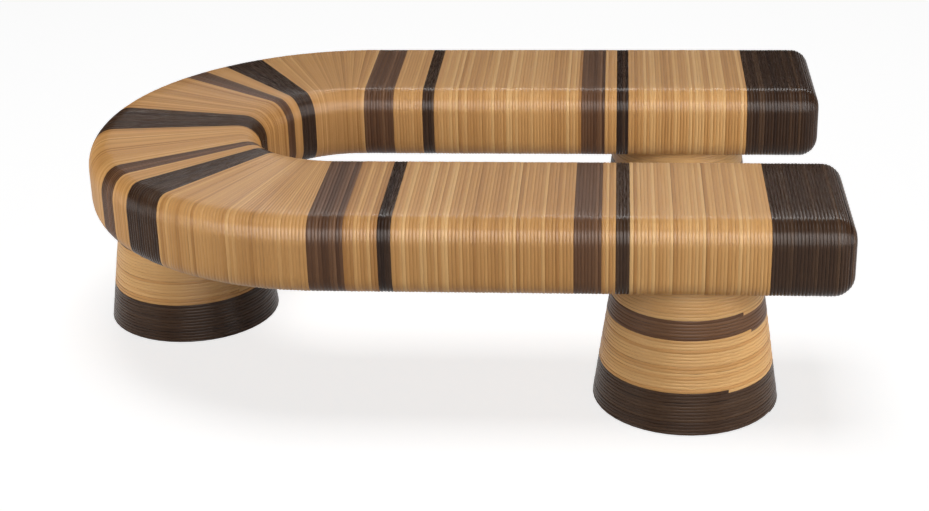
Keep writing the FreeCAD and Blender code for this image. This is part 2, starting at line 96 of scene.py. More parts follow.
# %% A socket that can be reckoned with
class Wire:
    """One output socket. A sum on it adds a Math node to its tree."""

    def __init__(self, tree, socket):
        self.tree = tree
        self.socket = socket

    def math(self, operation, *others):
        return add(self.tree, "ShaderNodeMath", [self, *others], operation=operation)

    def __add__(self, other):
        return self.math("ADD", other)

    def __sub__(self, other):
        return self.math("SUBTRACT", other)

    def __rsub__(self, other):
        return add(self.tree, "ShaderNodeMath", [other, self], operation="SUBTRACT")

    def __mul__(self, other):
        return self.math("MULTIPLY", other)

    def __truediv__(self, other):
        return self.math("DIVIDE", other)

    def __neg__(self):
        return self.math("MULTIPLY", -1.0)

    __radd__ = __add__
    __rmul__ = __mul__

    def floor(self):
        return self.math("FLOOR")

    def at_least(self, other):
        return self.math("MAXIMUM", other)

    def at_most(self, other):
        return self.math("MINIMUM", other)

    def within(self, least, most):
        return self.at_least(least).at_most(most)

    def over(self, other):
        return self.math("GREATER_THAN", other)


def pick(sockets, key):
    """A socket by its place or its name, among those in use."""
    live = [socket for socket in sockets if socket.enabled]
    return live[key] if isinstance(key, int) else next(s for s in live if s.name == key)


def add(tree, kind, inputs=(), output=0, **settings):
    """Adds a node, sets its properties, feeds its inputs and returns one of its outputs."""
    node = tree.nodes.new(kind)
    for name, value in settings.items():
        setattr(node, name, value)
    for key, value in inputs.items() if isinstance(inputs, dict) else enumerate(inputs):
        socket = pick(node.inputs, key)
        if isinstance(value, Wire):
            tree.links.new(value.socket, socket)
        else:
            socket.default_value = value
    return Wire(tree, pick(node.outputs, output))


def parts_of(vector):
    """The X, Y and Z of a vector socket."""
    node = vector.tree.nodes.new("ShaderNodeSeparateXYZ")
    vector.tree.links.new(vector.socket, node.inputs[0])
    return [Wire(vector.tree, socket) for socket in node.outputs]


def vector_of(tree, x, y, z):
    """A vector socket from three numbers or sockets."""
    return add(tree, "ShaderNodeCombineXYZ", [x, y, z])


print("node sums ready")

# %% [markdown]
# ## Floor
# The bench stands on a plain white floor. A white floor can be lit until it burns out, but the same light
# would bleach the cane. Here the floor is an ordinary pale surface to every other ray, and only what the
# camera sees of it is lifted towards white, so it keeps a faint shadow.

# %% Floor
FLOOR_HALF = 20.0
FLOOR_BOUNCE = 0.9
WHITE_SHARE, SHADOW_SHARE = 0.79, 0.64


def light_path(tree):
    """1 for what the camera sees straight, mirrored or through glass, else 0."""
    seen = add(tree, "ShaderNodeLightPath", output="Is Camera Ray")
    for kind in ("Is Glossy Ray", "Is Transmission Ray"):
        seen = seen.at_least(add(tree, "ShaderNodeLightPath", output=kind))
    return seen


def floor_finish():
    """A matt pale surface that glows towards white where it is looked at."""
    material = bpy.data.materials.new("pale floor")
    material.use_nodes = True
    tree = material.node_tree
    tree.nodes.clear()
    looked_at = light_path(tree)
    shade = FLOOR_BOUNCE - looked_at * (FLOOR_BOUNCE - SHADOW_SHARE)
    matt = add(tree, "ShaderNodeBsdfDiffuse", {"Color": vector_of(tree, shade, shade, shade)})
    glow = add(tree, "ShaderNodeEmission", {"Strength": looked_at * WHITE_SHARE})
    both = add(tree, "ShaderNodeAddShader", [matt, glow])
    end = tree.nodes.new("ShaderNodeOutputMaterial")
    tree.links.new(both.socket, end.inputs["Surface"])
    return material


corners = [(x * FLOOR_HALF, y * FLOOR_HALF, 0.0) for x, y in ((-1, -1), (1, -1), (1, 1), (-1, 1))]
floor_mesh = bpy.data.meshes.new("floor")
floor_mesh.from_pydata(corners, [], [(0, 1, 2, 3)])
floor_mesh.materials.append(floor_finish())
floor = bpy.data.objects.new("floor", floor_mesh)
scene.collection.objects.link(floor)
print("floor", 2 * FLOOR_HALF, "m square")

# %% [markdown]
# ## Light
# Two large softboxes stand in front of the bench, right and left, and light its faces. A lamp high overhead
# lights the top. It alone reaches the floor, so the shadow lies straight under the seat: light linking
# keeps the floor out of what the others light. A boom softbox fills from above, and one behind lights the
# back.
#
# Varnish mirrors its light sources, so it needs some that are placed by what the cane shows. The three
# cards are lamps that are seen only in gloss. The front card and the upper card draw the dash of light on
# every strand of the front shoulder, and the back card draws a thin line along the front edge of the top.
# The sky is kept dim, because at a flat angle it would lay a grey haze over the dark stripes.

# %% Sky and lamps
SKY = 0.03
world = bpy.data.worlds.new("studio")
scene.world = world
world.use_nodes = True
sky = world.node_tree.nodes["Background"]
sky.inputs["Color"].default_value = (1.0, 1.0, 1.0, 1.0)
sky.inputs["Strength"].default_value = SKY

floor_left_out = bpy.data.collections.new("floor left out")
floor_left_out.objects.link(floor)
floor_left_out.collection_objects[0].light_linking.link_state = "EXCLUDE"


def soft_lamp(name, place, aim, size, power, on_floor=False, diffuse=True, glossy=True):
    """A rectangular soft lamp that faces a point. It can light the floor too, or skip one kind of ray."""
    data = bpy.data.lights.new(name, "AREA")
    data.shape = "RECTANGLE"
    data.size, data.size_y = size
    data.energy = power
    lamp = bpy.data.objects.new(name, data)
    lamp.location = place
    lamp.rotation_euler = (Vector(aim) - Vector(place)).to_track_quat("-Z", "Y").to_euler()
    lamp.visible_diffuse, lamp.visible_glossy = diffuse, glossy
    if not on_floor:
        lamp.light_linking.receiver_collection = floor_left_out
    scene.collection.objects.link(lamp)


soft_lamp("right softbox", place=(3.6, -2.0, 1.5), aim=(0.3, -0.3, 0.25), size=(2.4, 2.4), power=155.0)
soft_lamp("left softbox", place=(-3.5, -1.9, 1.5), aim=(-0.5, -0.2, 0.25), size=(2.4, 2.4), power=110.0)
soft_lamp("overhead softbox", place=(0.0, -0.5, 8.0), aim=(0.0, -0.5, 0.0), size=(3.4, 3.4), power=210.0,
          on_floor=True)
soft_lamp("boom softbox", place=(0.0, -1.5, 3.4), aim=(0.0, 0.0, 0.4), size=(3.6, 1.4), power=8.0)
soft_lamp("rear softbox", place=(0.6, 4.6, 1.1), aim=(0.0, 0.3, 0.25), size=(3.0, 1.6), power=90.0,
          glossy=False)
soft_lamp("front card", place=(0.9, -6.4, 2.6), aim=(0.3, -0.2, 0.4), size=(5.0, 3.4), power=520.0,
          diffuse=False)
soft_lamp("back card", place=(0.0, 2.6, 2.6), aim=(0.0, -0.36, 0.43), size=(4.0, 0.35), power=62.0,
          diffuse=False)
soft_lamp("upper card", place=(0.3, -4.6, 4.6), aim=(0.0, -0.5, 0.35), size=(6.0, 2.4), power=620.0,
          diffuse=False)
scene.view_settings.view_transform = "Standard"
print("sky", SKY, "and", len(bpy.data.lights), "lamps")

# %% [markdown]
# ## Varnished cane
# Rattan core is straw to honey coloured, and no two strands are alike: some are pale, some run to orange
# brown, and each drifts in tone along its length. The maker stains part of it in two browns and varnishes
# all of it. One flat colour per stripe would lose all this. The finish reads four notes that the winding
# leaves on each strand: its tone, where along and across it a point lies, how near to its edge, and how
# open the gap beside it is. The last two paint shade, with a little dirt, into the colour: a strand darkens
# towards its edges, and only some gaps show as a painted dark line of shade, and only for part of their
# length.

# %% Noise, ramps and materials
def attribute(tree, name, output):
    """A note that the winding left on the mesh."""
    return add(tree, "ShaderNodeAttribute", output=output, attribute_name=name)


def stretched_noise(tree, place, scale, detail):
    """Noise drawn out along one way: scale gives waves per metre along each axis."""
    spread = add(tree, "ShaderNodeVectorMath", [place, scale], operation="MULTIPLY")
    return add(tree, "ShaderNodeTexNoise", {"Vector": spread, "Scale": 1.0, "Detail": detail})


def colour_ramp(tree, value, stops):
    """Colours between (place, linear colour) stops."""
    node = tree.nodes.new("ShaderNodeValToRGB")
    elements = node.color_ramp.elements
    while len(elements) < len(stops):
        elements.new(0.5)
    for element, (place, colour) in zip(elements, stops):
        element.position = place
        element.color = (*colour, 1.0)
    tree.links.new(value.socket, node.inputs[0])
    return Wire(tree, node.outputs[0])


def new_finish(name):
    """A material with its tree and its one shader."""
    material = bpy.data.materials.new(name)
    material.use_nodes = True
    return material, material.node_tree, material.node_tree.nodes["Principled BSDF"]


print("noise, ramps and materials ready")

# %% Cane finish
# Waves per metre along and across a strand, and steps of the noise from one turn to the next.
SLOW_WAVES, FIBRE_WAVES, PATCH_WAVES = (6.0, 0.0, 3.7), (30.0, 1500.0, 5.3), (16.0, 0.0, 9.1)
FIBRE_SHARE = 1.1
# Painted shade, with a little dirt: a groove darkens from halfway out to the strand's edge, and more where
# its gap is an open one.
GROOVE_SHADE_FROM = 0.5
PATCH_FROM, PATCH_FULL = 0.42, 0.6
GAP_SHADE_FROM = 0.55
CLOSED_GAP_SHADE, OPEN_GAP_SHADE = 0.2, 3.0
FIBRE_FROM, FIBRE_FULL, ROUGHER = 0.3, 0.7, 0.14
FIBRE_BUMP, FIBRE_DEPTH = 0.3, 0.0004
COAT_ROUGHNESS = 0.16


def cane_finish(name, stops, drift, groove_shade, gloss, sheen, varnish):
    """A stain on cane, with painted shade and some dirt in its grooves. stops are (tone, linear colour)
    pairs from the darkest strand to the palest.
    """
    material, tree, shader = new_finish(name)
    tone = attribute(tree, "tone", "Fac")
    lay = attribute(tree, "lay", "Vector")
    edge = attribute(tree, "edge", "Fac")
    gap = attribute(tree, "gap", "Fac")

    slow = stretched_noise(tree, lay, SLOW_WAVES, 2.0)
    fibre = stretched_noise(tree, lay, FIBRE_WAVES, 3.0)
    mixed = tone + (slow - 0.5) * drift + (fibre - 0.5) * (drift * FIBRE_SHARE)
    stain = colour_ramp(tree, mixed, stops)
    groove_shade_mask = add(tree, "ShaderNodeMapRange", {
        "Value": edge, "From Min": GROOVE_SHADE_FROM, "From Max": 1.0, "To Min": 0.0, "To Max": 1.0})
    gap_shade_patch = add(tree, "ShaderNodeMapRange", {
        "Value": stretched_noise(tree, lay, PATCH_WAVES, 2.0), "From Min": PATCH_FROM,
        "From Max": PATCH_FULL, "To Min": 0.0, "To Max": 1.0})
    # Painted shade: the colour darkens towards the strand's edges, and in patches along the open gaps.
    open_gap_shade = (gap - GAP_SHADE_FROM).at_least(0.0) * gap_shade_patch
    painted_shade = groove_shade_mask * groove_shade_mask * (groove_shade * CLOSED_GAP_SHADE + open_gap_shade * (groove_shade * OPEN_GAP_SHADE))
    colour = add(tree, "ShaderNodeVectorMath", {0: stain, "Scale": 1.0 - painted_shade}, operation="SCALE")
    tree.links.new(colour.socket, shader.inputs["Base Color"])

    rough = add(tree, "ShaderNodeMapRange", {
        "Value": fibre, "From Min": FIBRE_FROM, "From Max": FIBRE_FULL, "To Min": gloss,
        "To Max": gloss + ROUGHER})
    tree.links.new(rough.socket, shader.inputs["Roughness"])
    bump = add(tree, "ShaderNodeBump", {"Strength": FIBRE_BUMP, "Distance": FIBRE_DEPTH, "Height": fibre})
    tree.links.new(bump.socket, shader.inputs["Normal"])
    shader.inputs["Specular IOR Level"].default_value = sheen
    shader.inputs["Coat Weight"].default_value = varnish
    shader.inputs["Coat Roughness"].default_value = COAT_ROUGHNESS
    return material


HONEY = [(0.05, (0.36, 0.164, 0.044)), (0.35, (0.47, 0.234, 0.072)), (0.65, (0.55, 0.288, 0.096)),
         (0.95, (0.65, 0.380, 0.150))]
WALNUT = [(0.05, (0.070, 0.029, 0.012)), (0.5, (0.112, 0.050, 0.022)), (0.95, (0.165, 0.080, 0.038))]
ESPRESSO = [(0.05, (0.024, 0.011, 0.006)), (0.5, (0.043, 0.021, 0.011)), (0.95, (0.072, 0.038, 0.020))]
FINISHES = {
    "honey_cane": cane_finish("honey cane", HONEY, drift=0.22, groove_shade=0.4, gloss=0.36, sheen=0.15,
                              varnish=0.14),
    "walnut_cane": cane_finish("walnut stained cane", WALNUT, drift=0.4, groove_shade=0.6, gloss=0.3, sheen=0.14,
                               varnish=0.05),
    "espresso_cane": cane_finish("espresso stained cane", ESPRESSO, drift=0.4, groove_shade=0.6, gloss=0.2,
                                 sheen=0.14, varnish=0.0),
}
print("cane finishes:", ", ".join(FINISHES))

# %% [markdown]
# ## The outline that the cane is wound round
# Cut across, the seat is a rectangle with well rounded corners, a little rounder on top than below. The
# cane follows that outline. It is drawn here as a loop of points that starts in the middle of the
# underside, with three notes on each point: which way is outwards, how far round it lies, and how far the
# strand has stepped over towards the next turn. The strand steps over on the underside, out of sight.
# The corners get many points and the flats only a few, so the strands stay light.

# %% Sizes of the seat
CANE = 0.0065
RIGHT_ANGLE = math.pi / 2
TOP_ROUND, BASE_ROUND, END_ROUND = 0.048, 0.044, 0.040
ARM_LENGTH = 0.993

low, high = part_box("front_end_band")
half_width = (high.y - low.y) / 2
bend_radius = -(high.y + low.y) / 2
bend_x = high.x - ARM_LENGTH
end_band_start = low.x - bend_x
quarter = RIGHT_ANGLE * bend_radius
underside, top = low.z, high.z
print("bend centre at x", round(bend_x, 4), "and radius", round(bend_radius, 4))

# %% Seat outline
CORNER_STEPS = 7
UNDERSIDE_POINTS, SIDE_POINTS, TOP_POINTS = 2, 1, 5
HALF_STEP = 0.5


def corner_arc(side, above, radius, start):
    """Points and outward directions round one corner of the outline, from a starting angle in degrees."""
    centre_z = top - radius if above else underside + radius
    arc = []
    for step in range(CORNER_STEPS + 1):
        angle = math.radians(start + 90 * step / CORNER_STEPS)
        out = (math.cos(angle), math.sin(angle))
        arc.append((side * (half_width - radius) + radius * out[0], centre_z + radius * out[1], out))
    return arc


def between(first, last, count, ramps):
    """Points along a flat between two points of the loop, with the step-over growing along it."""
    for index in range(1, count + 1):
        share = index / (count + 1)
        y = first[0] + (last[0] - first[0]) * share
        z = first[1] + (last[1] - first[1]) * share
        yield (y, z, first[2], ramps[0] + (ramps[1] - ramps[0]) * share)


def seat_loop():
    """(across, up, outward, step-over) from the middle of the underside all the way round."""
    arcs = [corner_arc(1, False, BASE_ROUND, -90), corner_arc(1, True, TOP_ROUND, 0),
            corner_arc(-1, True, TOP_ROUND, 90), corner_arc(-1, False, BASE_ROUND, 180)]
    middle = (0.0, underside, (0.0, -1.0))
    loop = [(*middle, -HALF_STEP)]
    loop += between(middle, arcs[0][0], UNDERSIDE_POINTS, (-HALF_STEP, 0.0))
    for number, count in enumerate((SIDE_POINTS, TOP_POINTS, SIDE_POINTS, 0)):
        loop += [(*point, 0.0) for point in arcs[number]]
        loop += between(arcs[number][-1], arcs[(number + 1) % len(arcs)][0], count, (0.0, 0.0))
    loop += between(arcs[-1][-1], middle, UNDERSIDE_POINTS, (0.0, HALF_STEP))
    return loop


seat_points = seat_loop()
flat = np.array([(y, z) for y, z, _, _ in seat_points])
gaps = np.linalg.norm(np.roll(flat, -1, axis=0) - flat, axis=1)
loop_length = float(gaps.sum())
loop_run = np.concatenate([[0.0], np.cumsum(gaps)[:-1]])

outline = bpy.data.meshes.new("seat outline")
outline.from_pydata([(0.0, y, z) for y, z, _, _ in seat_points], [], [])
notes = {
    "outward": ("FLOAT_VECTOR", "vector", [(0.0, *out) for _, _, out, _ in seat_points]),
    "run": ("FLOAT", "value", loop_run),
    "ramp": ("FLOAT", "value", [ramp for _, _, _, ramp in seat_points]),
}
for label, (kind, field, values) in notes.items():
    note = outline.attributes.new(label, kind, "POINT")
    note.data.foreach_set(field, np.asarray(values, np.float32).ravel())
print("outline of", len(seat_points), "points,", round(loop_length * 1000), "mm round")

# %% [markdown]
# ## A straight strand
# A winding can be a curve with a round bevel, but in the bend a strand is broad on the outer face and
# narrow on the inner one, and a bevel is the same all along. So each tree starts from a straight strand: a
# long cylinder whose own Z says how far along the strand a ring is, and whose X and Y say where round the
# strand a vertex is. Cane in a tight winding shows only its back, so the profile is pressed into a low arch
# on a flat base, with crisp edges where it meets its neighbours. How far the arch drops is a size of the
# tree, because the dark stripes show their strands more than the honey ones. Before anything moves, the
# strand is given its notes for the finish.

# %% Trees and strands
PROFILE_SIDES = 8
BASE_LEVEL, BACK_FROM = 0.4, -0.1
OVERLAP = 1.06
CRISP_EDGE = math.radians(38)


def tree_with(name, sizes):
    """A Geometry Nodes tree with a geometry input and the named sizes."""
    tree = bpy.data.node_groups.new(name, "GeometryNodeTree")
    tree.interface.new_socket("Geometry", in_out="INPUT", socket_type="NodeSocketGeometry")
    for kind, labels in sizes.items():
        for label in labels:
            tree.interface.new_socket(label, in_out="INPUT", socket_type="NodeSocket" + kind)
    tree.interface.new_socket("Geometry", in_out="OUTPUT", socket_type="NodeSocketGeometry")
    entry = tree.nodes.new("NodeGroupInput")
    return tree, {socket.name: Wire(tree, socket) for socket in entry.outputs if socket.name}


def straight_strand(tree, segments, arch):
    """A straight cylinder, its ring number, and its place across and above the strand's middle."""
    strand = add(tree, "GeometryNodeMeshCylinder", {
        "Vertices": PROFILE_SIDES, "Side Segments": segments, "Radius": 1.0, "Depth": 1.0},
        output="Mesh", fill_type="NGON")
    side, rise, along = parts_of(add(tree, "GeometryNodeInputPosition"))
    # Five of the eight corners make the back. The other three are spread out to make the flat base.
    on_back = rise.over(BACK_FROM)
    back = side.math("ARCSINE") / RIGHT_ANGLE
    base = (side * math.sqrt(2)).within(-1.0, 1.0)
    across = base + on_back * (back - base)
    height = BASE_LEVEL + on_back * (1.0 - BASE_LEVEL - across * across * arch)
    return strand, (along + 0.5) * segments, across, height


def noted(tree, strand, domain, kind, label, value):
    """The strand with one more note."""
    return add(tree, "GeometryNodeStoreNamedAttribute", {
        "Geometry": strand, "Name": label, "Value": value}, data_type=kind, domain=domain)


def chance(tree, turn, seed, least, most):
    """A number drawn once for each turn."""
    return add(tree, "FunctionNodeRandomValue", {"Min": least, "Max": most, "ID": turn, "Seed": seed},
               data_type="FLOAT")


print("strand of", PROFILE_SIDES, "sides")

# %% Notes and closing of a tree
GROUP_WAVES, GROUP_SHARE, OWN_SHARE, ODD_SHARE = 0.28, 0.5, 0.2, 0.5
GROUP_SHIFT, LAY_SHIFT = 17.3, 3.1
UNEVEN_DRAW, PROUD_DRAW, GAP_DRAW = 100, 200, 300


def strand_tone(tree, turn, size):
    """A tone for each turn: groups that drift, as cut lengths do, and some of its own."""
    seed = size["Seed"]
    group = add(tree, "ShaderNodeTexNoise", {
        "W": turn * GROUP_WAVES + seed * GROUP_SHIFT, "Scale": 1.0, "Detail": 2.0}, noise_dimensions="1D")
    own = chance(tree, turn, seed, -1.0, 1.0)
    varied = (group - 0.5) * GROUP_SHARE + own * OWN_SHARE + own * own * own * ODD_SHARE
    return size["Tone"] + size["Tone Spread"] * varied


def with_notes(tree, strand, turn_of_face, across, lay, size):
    """The strand with what its finish reads."""
    strand = noted(tree, strand, "FACE", "FLOAT", "tone", strand_tone(tree, turn_of_face, size))
    # How open the gap beside each strand is: the finish paints a line of shade along the open ones.
    gap = chance(tree, turn_of_face, size["Seed"] + GAP_DRAW, 0.0, 1.0)
    strand = noted(tree, strand, "FACE", "FLOAT", "gap", gap)
    strand = noted(tree, strand, "POINT", "FLOAT", "edge", across.math("ABSOLUTE"))
    return noted(tree, strand, "POINT", "FLOAT_VECTOR", "lay", lay)


def finish_tree(tree, strand, place, material):
    """Moves the strand to its place, smooths its back, gives it its finish and closes the tree."""
    placed = add(tree, "GeometryNodeSetPosition", {"Geometry": strand, "Position": place})
    smooth = add(tree, "GeometryNodeSetShadeSmooth", {"Geometry": placed})
    bent = add(tree, "GeometryNodeInputMeshEdgeAngle", output="Unsigned Angle")
    crisp = add(tree, "GeometryNodeSetShadeSmooth", {
        "Geometry": smooth, "Selection": bent.over(CRISP_EDGE), "Shade Smooth": False}, domain="EDGE")
    real = add(tree, "GeometryNodeRealizeInstances", {"Geometry": crisp})
    finished = add(tree, "GeometryNodeSetMaterial", {"Geometry": real, "Material": material})
    leave = tree.nodes.new("NodeGroupOutput")
    tree.links.new(finished.socket, leave.inputs[0])


print("notes: tone, gap, edge, lay")

# %% [markdown]
# ## Winding the seat with Geometry Nodes
# Each ring of the straight strand moves to its point on the outline, one strand further along for every
# turn, and the whole winding is then bent round the horseshoe. At an arm's end the winding does not stop:
# it goes over a rounded edge and coils on across the end face. So a turn's place is a length of path, which
# is straight at first, then an arc over the edge, then straight in towards the middle of the end.
# In the bend the strands lean a little towards the arms on the outer face, as they do when the cane is
# pulled tight over the top.
#
# Where a strand steps over to its next turn, a plain winding would leave a wedge open at both edges of the
# stripe. So the first turn is widened down to the stripe's first edge, and the last turn up to its last.

# %% Along the path, over the end and round the bend
PROUD = 0.00045
UNEVEN = 0.0003


def strand_edges(tree, size, turn, ring_number, ramp):
    """Where along the stripe's path the two edges of the strand lie, and half its usual width."""
    half = (size["Last"] - size["First"]) / size["Turns"] * 0.5
    path = size["First"] + (turn + 0.5 + ramp) * (half * 2.0)
    path = path + chance(tree, turn, size["Seed"] + UNEVEN_DRAW, -UNEVEN, UNEVEN)
    path = path.within(size["First"] + half, size["Last"] - half)
    lower, upper = path - half, path + half
    first_lap = 1.0 - ring_number.over(size["Rings"] + 0.5)
    last_lap = turn.over(size["Turns"] - 1.5)
    lower = lower + first_lap * (size["First"] - lower)
    upper = upper + last_lap * (size["Last"] - upper)
    return lower, upper, half


def over_end(size, path):
    """The sine and cosine of a path's turn over an arm's edge, and how far in it runs after that."""
    past_straight = path - size["Straight Run"]
    turned = (past_straight / size["End Round"]).within(0.0, RIGHT_ANGLE)
    on_end = (past_straight - size["End Round"] * RIGHT_ANGLE).at_least(0.0)
    return turned.math("SINE"), turned.math("COSINE"), on_end


def bent_round(tree, size, along, y, z, outer_face):
    """A point of a straight seat, leant on the outer face and bent round the horseshoe."""
    half_bend = size["Bend Radius"] * RIGHT_ANGLE

    def angle_at(length):
        return length.within(-half_bend, half_bend) / size["Bend Radius"]

    along = along + size["Lean"] * (angle_at(along) * 2.0).math("SINE") * outer_face * outer_face
    angle = angle_at(along)
    straight = (along.math("ABSOLUTE") - half_bend).at_least(0.0)
    reach = size["Bend Radius"] + y
    return vector_of(tree, size["Bend X"] + straight - reach * angle.math("COSINE"),
                     reach * angle.math("SINE"), z)


print("rules for the path, the ends and the bend")

# %% Seat winding tree
# A whole number can come out of a division a hair too low, so these lift it before it is rounded down.
RING_SLACK, TURN_SLACK = 0.01, 0.0001


def seat_winding_tree():
    """The rule for one stripe of the seat."""
    tree, size = tree_with("seat winding", {
        "Int": ["Turns", "Rings", "Seed"],
        "Float": ["First", "Last", "Origin", "Direction", "Straight Run", "End Round", "Half Height", "Fan",
                  "Lean", "Bend Radius", "Bend X", "Seat Half Width", "Underside", "Top", "Loop Length",
                  "Arch", "Tone", "Tone Spread"],
        "Material": ["Material"]})
    strand, ring, across, height = straight_strand(tree, size["Turns"] * size["Rings"], size["Arch"])
    ring_number = (ring + RING_SLACK).floor()
    turn = (ring_number / size["Rings"] + TURN_SLACK).floor()
    stop = ring_number - turn * size["Rings"]

    def on_outline(value, kind):
        """What the outline's points hold, read at this ring's point."""
        return add(tree, "GeometryNodeSampleIndex", {
            "Geometry": size["Geometry"], "Value": value, "Index": stop}, data_type=kind)

    def note(label, kind):
        named = add(tree, "GeometryNodeInputNamedAttribute", {"Name": label}, data_type=kind)
        return on_outline(named, kind)

    _, skin_y, skin_z = parts_of(on_outline(add(tree, "GeometryNodeInputPosition"), "FLOAT_VECTOR"))
    _, out_y, out_z = parts_of(note("outward", "FLOAT_VECTOR"))

    lower, upper, half = strand_edges(tree, size, turn, ring_number, note("ramp", "FLOAT"))
    path = (lower + upper) * 0.5
    ahead_share, side_share, on_end = over_end(size, path)
    thick = size["Half Height"] * (1.0 + size["Fan"] * skin_y / size["Bend Radius"])
    lift = height * thick - chance(tree, turn, size["Seed"] + PROUD_DRAW, 0.0, PROUD)
    wide = across * (upper - lower) * (OVERLAP / 2)
    reached = path.at_most(size["Straight Run"]) + (size["End Round"] + lift) * ahead_share
    along = size["Origin"] + size["Direction"] * reached + wide * side_share
    inset = thick + size["End Round"] * (1.0 - side_share) + on_end + wide * size["Direction"] * ahead_share

    def drawn_in(skin, out, least, most):
        """A point of the outline moved in by the inset, and kept within the outline drawn in as far."""
        moved = (skin - out * inset).within(least + inset, most - inset)
        return moved + out * lift * side_share

    y = drawn_in(skin_y, out_y, -size["Seat Half Width"], size["Seat Half Width"])
    z = drawn_in(skin_z, out_z, size["Underside"], size["Top"])
    place = bent_round(tree, size, along, y, z, out_y.at_least(0.0))

    lay = vector_of(tree, turn * size["Loop Length"] + note("run", "FLOAT"), across * half,
                    turn + size["Seed"] * LAY_SHIFT)
    strand = with_notes(tree, strand, (ring / size["Rings"]).floor(), across, lay, size)
    finish_tree(tree, strand, place, size["Material"])
    return tree


seat_winding = seat_winding_tree()
print("seat winding tree:", len(seat_winding.nodes), "nodes")

# %% [markdown]
# ## From tree to piece
# A modifier's inputs are set by their identifiers before the object is first evaluated. The evaluated
# object is then turned into a plain mesh, the modifier goes, and the CAD sleeve that the piece stands for
# is hidden. All pieces ride on the root body, because no part of the bench moves.

# %% Run a tree
ARCHES = {"honey_cane": 0.28, "walnut_cane": 0.32, "espresso_cane": 0.4}


def wind(name, node, tree, start, slot, **sizes):
    """Runs a winding tree on a starting mesh. The piece that it makes stands for a CAD node."""
    piece = bpy.data.objects.new(name + "_cane", start)
    scene.collection.objects.link(piece)
    modifier = piece.modifiers.new("winding", "NODES")
    modifier.node_group = tree
    sizes["Material"] = FINISHES[slot]
    sizes.setdefault("Arch", ARCHES[slot])
    for item in tree.interface.items_tree:
        label = item.name.replace(" ", "_")
        if item.in_out == "INPUT" and label in sizes:
            modifier[item.identifier] = sizes.pop(label)
    if sizes:
        raise ValueError(f"the tree has no size named {sorted(sizes)}")
    evaluated = piece.evaluated_get(bpy.context.evaluated_depsgraph_get())
    mesh = bpy.data.meshes.new_from_object(evaluated)
    piece.modifiers.remove(modifier)
    piece.data = mesh
    mesh.name = name + "_cane"
    mesh.materials.pop(index=0)  # the cylinder node brings an empty slot
    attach(piece, "root")
    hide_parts(node)


print("ready to wind")

# %% [markdown]
# ## Stripes of the seat
# From the end of each arm to the top of the bend, the cane changes stain stripe by stripe. The widths are
# read off the CAD sleeves: each point of a sleeve is unrolled to how far along the seat's middle line it
# lies, and neighbouring stripes share the edge halfway between them. In the bend the strands are wound
# closer on the middle line, because they spread towards the outer face.

# %% Where each stripe lies
ARM_STRIPES = {
    "shoulder_band": "walnut_cane", "shoulder_infill": "honey_cane", "inner_pinstripe": "espresso_cane",
    "long_infill": "honey_cane", "middle_band": "walnut_cane", "middle_infill": "honey_cane",
    "outer_pinstripe": "espresso_cane", "outer_infill": "honey_cane", "end_band": "espresso_cane"}
BEND_STRIPES = {
    "apex_infill": "honey_cane", "slim_band": "walnut_cane", "slim_infill": "honey_cane",
    "bend_band": "espresso_cane", "fan": "honey_cane"}


def unrolled(node):
    """From where to where a CAD node lies along the seat's middle line: 0 is the apex, front is minus."""
    mesh = frame["nodes"][node].data
    points = np.empty(len(mesh.vertices) * 3, np.float32)
    mesh.vertices.foreach_get("co", points)
    x, y, _ = points.reshape(-1, 3).T
    x = x - bend_x
    along = np.where(x > 0, np.sign(y) * (quarter + x), bend_radius * np.arctan2(y, -x))
    return float(along.min()), float(along.max())


stripes = {"apex_band": "espresso_cane"}
for side in ("front", "rear"):
    for name, slot in {**BEND_STRIPES, **ARM_STRIPES}.items():
        stripes[f"{side}_{name}"] = slot
reach_of = {name: unrolled(name) for name in stripes}
ordered = sorted(stripes, key=lambda name: reach_of[name][0])
edges = [reach_of[ordered[0]][0]]
for before, after in zip(ordered, ordered[1:]):
    edges.append((reach_of[before][1] + reach_of[after][0]) / 2)
edges.append(reach_of[ordered[-1]][1])
print("stripe edges in mm:", [round(edge * 1000) for edge in edges])

# %% Wind the stripes
BEND_PITCH = 0.005
PAST_BEND = ARM_LENGTH / 20
LEAN = math.radians(2.2)
ARM_SPREAD, BEND_SPREAD = 0.75, 0.6
MIDDLE_TONE = 0.5
# Some stripes are wound in paler or browner cane than the rest.
TONES = {"front_shoulder_infill": 0.25, "front_long_infill": 0.42, "front_outer_infill": 0.65,
         "rear_long_infill": 0.58, "rear_apex_infill": 0.3, "front_apex_infill": 0.44}
# A straight run that no stripe gets to the end of.
NO_END = 10.0

seat = dict(Rings=len(seat_points), End_Round=END_ROUND - CANE / 2, Lean=LEAN * bend_radius,
            Bend_Radius=bend_radius, Bend_X=bend_x, Seat_Half_Width=half_width, Underside=underside,
            Top=top, Loop_Length=loop_length)
turns_laid = 0
for number, name in enumerate(ordered):
    if name.endswith("_end_band"):
        continue
    start, end = edges[number], edges[number + 1]
    in_bend = max(abs(start), abs(end)) < quarter + PAST_BEND
    turns = round((end - start) / (BEND_PITCH if in_bend else CANE))
    pitch = (end - start) / turns
    wind(name, name, seat_winding, outline, stripes[name], Turns=turns, First=start, Last=end, Origin=0.0,
         Direction=1.0, Straight_Run=NO_END, Half_Height=pitch / 2 if in_bend else CANE / 2,
         Fan=float(in_bend), Tone=TONES.get(name, MIDDLE_TONE),
         Tone_Spread=BEND_SPREAD if in_bend else ARM_SPREAD, Seed=number + 1, **seat)
    turns_laid += turns
print("stripes:", len(ordered) - 2, "with", turns_laid, "turns")

# %% [markdown]
# ## Ends of the arms
# The last band of each arm goes over the rounded edge of the end, and a coil closes the end face. Both are
# the same winding, taken further along its path.

# %% Wind the ends
END_SEED = 61

